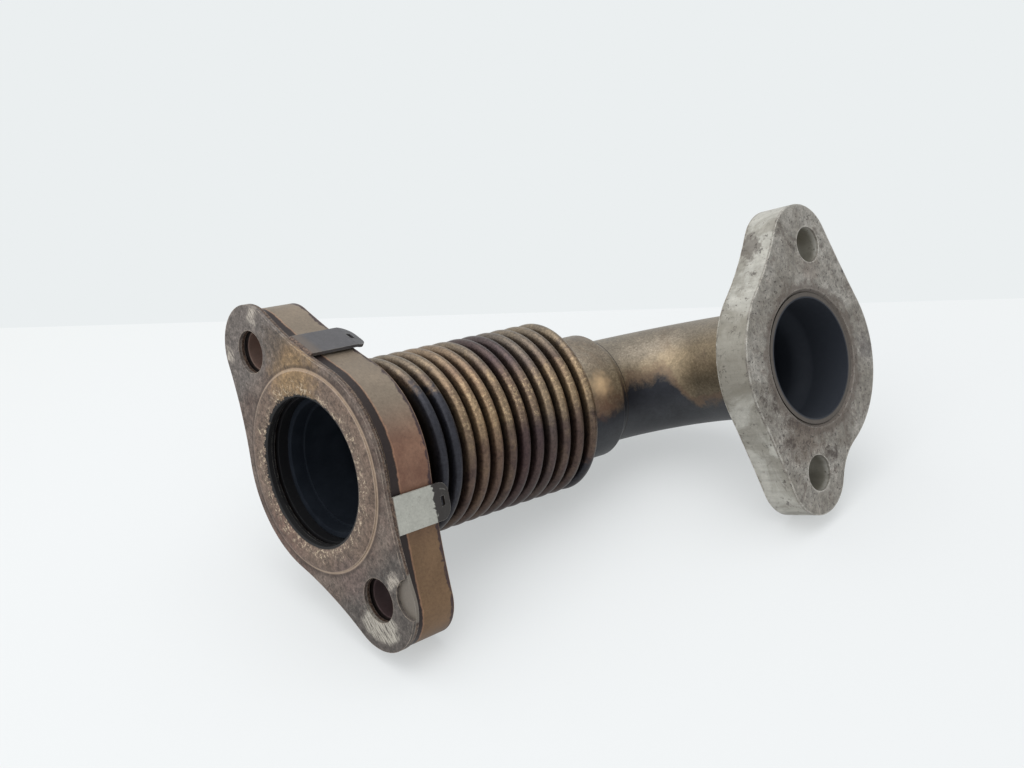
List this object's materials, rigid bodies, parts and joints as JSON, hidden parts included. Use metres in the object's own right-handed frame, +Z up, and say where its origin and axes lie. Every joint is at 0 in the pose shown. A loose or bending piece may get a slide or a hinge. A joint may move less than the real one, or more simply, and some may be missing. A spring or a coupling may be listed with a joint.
{
  "type": "egr hose",
  "caption": "Short bent metal exhaust gas pipe with a corrugated bellows between two bolted flanges and a tabbed sheet gasket on the inlet flange.",
  "frame": {"origin": "centre of the bounding box, on the surface that the part lies on", "axes": "+X runs from the inlet flange along the bellows, seen from above; +Z is up; the outlet faces -Y"},
  "size_m": [0.145, 0.11, 0.0711],
  "materials": {
    "heat_tinted_plate": "heat tinted, worn",
    "gasket_sheet": "rusted, speckled",
    "gasket_tabs": "dull sheet steel",
    "sooty_bore": "sooty",
    "weld_bead": "oxidised",
    "bellows_steel": "heat tinted thin sheet",
    "heat_tinted_tube": "heat tinted tube",
    "cast_flange_steel": "pitted, satin"
  },
  "bodies": {
    "root": {"inlet_flange": "heat_tinted_plate", "gasket_front_layer": "gasket_sheet", "gasket_rear_layer": "gasket_tabs", "inlet_stub": "sooty_bore", "flow_liner": "sooty_bore", "inlet_weld": "weld_bead", "outlet_weld": "weld_bead", "cuff_ring": "heat_tinted_plate", "bellows": "bellows_steel", "end_sleeve": "heat_tinted_tube", "outlet_pipe": "heat_tinted_tube", "outlet_flange": "cast_flange_steel"}
  },
  "joints": []
}
